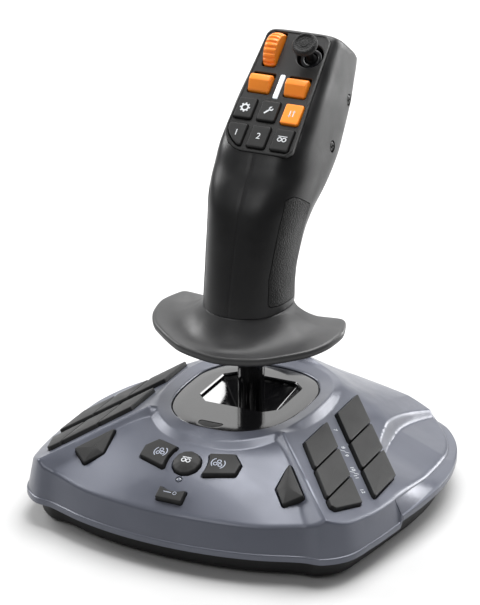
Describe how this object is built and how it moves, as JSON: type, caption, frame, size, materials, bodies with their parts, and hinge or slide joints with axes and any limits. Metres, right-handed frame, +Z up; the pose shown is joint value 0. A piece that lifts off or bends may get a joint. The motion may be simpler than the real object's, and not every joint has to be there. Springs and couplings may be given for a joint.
{
  "type": "flight joystick",
  "caption": "Free-standing joystick: leaning grip with thumb controls and hand rest on a two-axis gimbal, over a wide base with key banks.",
  "frame": {"origin": "on the surface that the feet stand on, in the middle of the object's box; the upright axis of the stick is 6.4 mm behind it", "axes": "+Z up, -Y towards the user, +X to the user's right"},
  "size_m": [0.22, 0.2072, 0.2486],
  "materials": {
    "housing_plastic": "satin slate blue-grey moulded plastic, fine spark texture",
    "black_plastic": "black moulded plastic",
    "plate_plastic": "satin black face plate",
    "gloss_black": "polished black plastic",
    "key_plastic": "dark warm grey matte keys",
    "grip_plastic": "satin black grip shells, fine grain",
    "rest_plastic": "dark grey satin hand rest",
    "grip_rubber": "textured black rubber",
    "foot_rubber": "soft black rubber",
    "orange_plastic": "bright orange satin plastic",
    "white_light": "milky light window",
    "clear_lens": "small frosted lens",
    "nylon": "natural nylon",
    "steel": "plated steel",
    "black_steel": "blackened steel screws",
    "circuit_board": "green circuit board"
  },
  "bodies": {
    "base": {"upper_housing": "housing_plastic", "base_plate": "black_plastic", "cable_gland": "black_plastic", "main_board": "circuit_board", "gimbal_cover": "gloss_black", "gimbal_bowl": "gloss_black", "gimbal_frame": "steel", "pitch_sensor": "circuit_board", "centring_spring": "steel", "indicator_lens": "clear_lens", "foot_front_left": "foot_rubber", "foot_front_right": "foot_rubber", "foot_rear_left": "foot_rubber", "foot_rear_right": "foot_rubber"},
    "pitch_yoke": {"pitch_yoke": "steel", "roll_sensor": "circuit_board"},
    "stick": {"roll_carrier": "steel", "shaft": "gloss_black"},
    "grip": {"grip_left": "grip_plastic", "grip_right": "grip_plastic", "face_plate": "plate_plastic", "grip_pad_left": "grip_rubber", "grip_pad_right": "grip_rubber", "hand_rest": "rest_plastic", "light_bar": "white_light", "head_screw_lower": "black_steel", "head_screw_upper": "black_steel", "grip_board": "circuit_board", "twist_bushing": "nylon"},
    "thumb_wheel": {"thumb_wheel": "orange_plastic"},
    "thumbstick_ring": {"thumbstick_ring": "gloss_black"},
    "thumbstick_post": {"thumbstick_post": "black_plastic"},
    "thumbstick_cap": {"thumbstick_cap": "grip_rubber"},
    "rocker_left": {"rocker_left": "orange_plastic"},
    "rocker_right": {"rocker_right": "orange_plastic"},
    "left_bank_button_1": {"left_bank_button_1": "key_plastic"},
    "left_bank_button_2": {"left_bank_button_2": "key_plastic"},
    "left_bank_button_3": {"left_bank_button_3": "key_plastic"},
    "left_bank_button_4": {"left_bank_button_4": "key_plastic"},
    "left_bank_button_5": {"left_bank_button_5": "key_plastic"},
    "left_bank_button_6": {"left_bank_button_6": "key_plastic"},
    "right_bank_button_1": {"right_bank_button_1": "key_plastic"},
    "right_bank_button_2": {"right_bank_button_2": "key_plastic"},
    "right_bank_button_3": {"right_bank_button_3": "key_plastic"},
    "right_bank_button_4": {"right_bank_button_4": "key_plastic"},
    "right_bank_button_5": {"right_bank_button_5": "key_plastic"},
    "right_bank_button_6": {"right_bank_button_6": "key_plastic"},
    "leaf_button_left": {"leaf_button_left": "key_plastic"},
    "leaf_button_right": {"leaf_button_right": "key_plastic"},
    "cluster_button_left": {"cluster_button_left": "key_plastic"},
    "cluster_button_right": {"cluster_button_right": "key_plastic"},
    "centre_button": {"centre_button": "key_plastic"},
    "start_button": {"start_button": "key_plastic"},
    "upper_key_1": {"upper_key_1": "key_plastic"},
    "upper_key_2": {"upper_key_2": "key_plastic"},
    "upper_key_3": {"upper_key_3": "orange_plastic"},
    "lower_key_1": {"lower_key_1": "key_plastic"},
    "lower_key_2": {"lower_key_2": "key_plastic"},
    "lower_key_3": {"lower_key_3": "key_plastic"}
  },
  "joints": [
    {"name": "stick_pitch", "type": "hinge", "parent": "base", "child": "pitch_yoke", "pos_m": [0, 0.00644, 0.03], "axis": [1, 0, 0], "range_deg": [-16, 16], "stiffness_Nm_per_rad": 2.2},
    {"name": "stick_roll", "type": "hinge", "parent": "pitch_yoke", "child": "stick", "pos_m": [0, 0.00644, 0.03], "axis": [0, 1, 0], "range_deg": [-16, 16], "stiffness_Nm_per_rad": 2.2},
    {"name": "grip_twist", "type": "hinge", "parent": "stick", "child": "grip", "pos_m": [0, 0.00644, 0.105], "axis": [0, 0, 1], "range_deg": [-15, 15], "stiffness_Nm_per_rad": 0.4},
    {"name": "thumb_wheel_turn", "type": "hinge", "parent": "grip", "child": "thumb_wheel", "pos_m": [-0.0106, 0.06063, 0.23337], "axis": [1, 0, 0], "range_deg": [-40, 40]},
    {"name": "thumbstick_up_down", "type": "hinge", "parent": "grip", "child": "thumbstick_ring", "pos_m": [0.0106, 0.06017, 0.2322], "axis": [1, 0, 0], "range_deg": [-18, 18], "stiffness_Nm_per_rad": 0.03},
    {"name": "thumbstick_left_right", "type": "hinge", "parent": "thumbstick_ring", "child": "thumbstick_post", "pos_m": [0.0106, 0.06017, 0.2322], "axis": [0, 0.767, 0.6417], "range_deg": [-18, 18], "stiffness_Nm_per_rad": 0.03},
    {"name": "thumbstick_press", "type": "slide", "parent": "thumbstick_post", "child": "thumbstick_cap", "axis": [0, 0.6417, -0.767], "range_m": [0, 0.0005], "stiffness_N_per_m": 1500},
    {"name": "rocker_left_tilt", "type": "hinge", "parent": "grip", "child": "rocker_left", "pos_m": [-0.0106, 0.04222, 0.22109], "axis": [1, 0, 0], "range_deg": [-7, 7], "stiffness_Nm_per_rad": 0.08},
    {"name": "rocker_right_tilt", "type": "hinge", "parent": "grip", "child": "rocker_right", "pos_m": [0.0106, 0.04222, 0.22109], "axis": [1, 0, 0], "range_deg": [-7, 7], "stiffness_Nm_per_rad": 0.08},
    {"name": "upper_key_1_press", "type": "slide", "parent": "grip", "child": "upper_key_1", "axis": [0, 0.6417, -0.767], "range_m": [0, 0.001], "stiffness_N_per_m": 900},
    {"name": "upper_key_2_press", "type": "slide", "parent": "grip", "child": "upper_key_2", "axis": [0, 0.6417, -0.767], "range_m": [0, 0.001], "stiffness_N_per_m": 900},
    {"name": "upper_key_3_press", "type": "slide", "parent": "grip", "child": "upper_key_3", "axis": [0, 0.6417, -0.767], "range_m": [0, 0.001], "stiffness_N_per_m": 900},
    {"name": "lower_key_1_press", "type": "slide", "parent": "grip", "child": "lower_key_1", "axis": [0, 0.6417, -0.767], "range_m": [0, 0.001], "stiffness_N_per_m": 900},
    {"name": "lower_key_2_press", "type": "slide", "parent": "grip", "child": "lower_key_2", "axis": [0, 0.6417, -0.767], "range_m": [0, 0.001], "stiffness_N_per_m": 900},
    {"name": "lower_key_3_press", "type": "slide", "parent": "grip", "child": "lower_key_3", "axis": [0, 0.6417, -0.767], "range_m": [0, 0.001], "stiffness_N_per_m": 900},
    {"name": "left_bank_button_1_press", "type": "slide", "parent": "base", "child": "left_bank_button_1", "axis": [0.44, 0, -0.898], "range_m": [0, 0.0012], "stiffness_N_per_m": 900},
    {"name": "left_bank_button_2_press", "type": "slide", "parent": "base", "child": "left_bank_button_2", "axis": [0.44, 0, -0.898], "range_m": [0, 0.0012], "stiffness_N_per_m": 900},
    {"name": "left_bank_button_3_press", "type": "slide", "parent": "base", "child": "left_bank_button_3", "axis": [0.44, 0, -0.898], "range_m": [0, 0.0012], "stiffness_N_per_m": 900},
    {"name": "left_bank_button_4_press", "type": "slide", "parent": "base", "child": "left_bank_button_4", "axis": [0.44, 0, -0.898], "range_m": [0, 0.0012], "stiffness_N_per_m": 900},
    {"name": "left_bank_button_5_press", "type": "slide", "parent": "base", "child": "left_bank_button_5", "axis": [0.44, 0, -0.898], "range_m": [0, 0.0012], "stiffness_N_per_m": 900},
    {"name": "left_bank_button_6_press", "type": "slide", "parent": "base", "child": "left_bank_button_6", "axis": [0.44, 0, -0.898], "range_m": [0, 0.0012], "stiffness_N_per_m": 900},
    {"name": "leaf_left_press", "type": "slide", "parent": "base", "child": "leaf_button_left", "axis": [-0.1041, 0.4859, -0.8678], "range_m": [0, 0.0015], "stiffness_N_per_m": 900},
    {"name": "cluster_left_press", "type": "slide", "parent": "base", "child": "cluster_button_left", "axis": [0.0937, 0.3372, -0.9368], "range_m": [0, 0.0015], "stiffness_N_per_m": 900},
    {"name": "right_bank_button_1_press", "type": "slide", "parent": "base", "child": "right_bank_button_1", "axis": [-0.44, 0, -0.898], "range_m": [0, 0.0012], "stiffness_N_per_m": 900},
    {"name": "right_bank_button_2_press", "type": "slide", "parent": "base", "child": "right_bank_button_2", "axis": [-0.44, 0, -0.898], "range_m": [0, 0.0012], "stiffness_N_per_m": 900},
    {"name": "right_bank_button_3_press", "type": "slide", "parent": "base", "child": "right_bank_button_3", "axis": [-0.44, 0, -0.898], "range_m": [0, 0.0012], "stiffness_N_per_m": 900},
    {"name": "right_bank_button_4_press", "type": "slide", "parent": "base", "child": "right_bank_button_4", "axis": [-0.44, 0, -0.898], "range_m": [0, 0.0012], "stiffness_N_per_m": 900},
    {"name": "right_bank_button_5_press", "type": "slide", "parent": "base", "child": "right_bank_button_5", "axis": [-0.44, 0, -0.898], "range_m": [0, 0.0012], "stiffness_N_per_m": 900},
    {"name": "right_bank_button_6_press", "type": "slide", "parent": "base", "child": "right_bank_button_6", "axis": [-0.44, 0, -0.898], "range_m": [0, 0.0012], "stiffness_N_per_m": 900},
    {"name": "leaf_right_press", "type": "slide", "parent": "base", "child": "leaf_button_right", "axis": [0.1041, 0.4859, -0.8678], "range_m": [0, 0.0015], "stiffness_N_per_m": 900},
    {"name": "cluster_right_press", "type": "slide", "parent": "base", "child": "cluster_button_right", "axis": [-0.0937, 0.3372, -0.9368], "range_m": [0, 0.0015], "stiffness_N_per_m": 900},
    {"name": "centre_button_press", "type": "slide", "parent": "base", "child": "centre_button", "axis": [0, 0.4472, -0.8944], "range_m": [0, 0.0015], "stiffness_N_per_m": 900},
    {"name": "start_button_press", "type": "slide", "parent": "base", "child": "start_button", "axis": [0, 0.4886, -0.8725], "range_m": [0, 0.0012], "stiffness_N_per_m": 900}
  ]
}
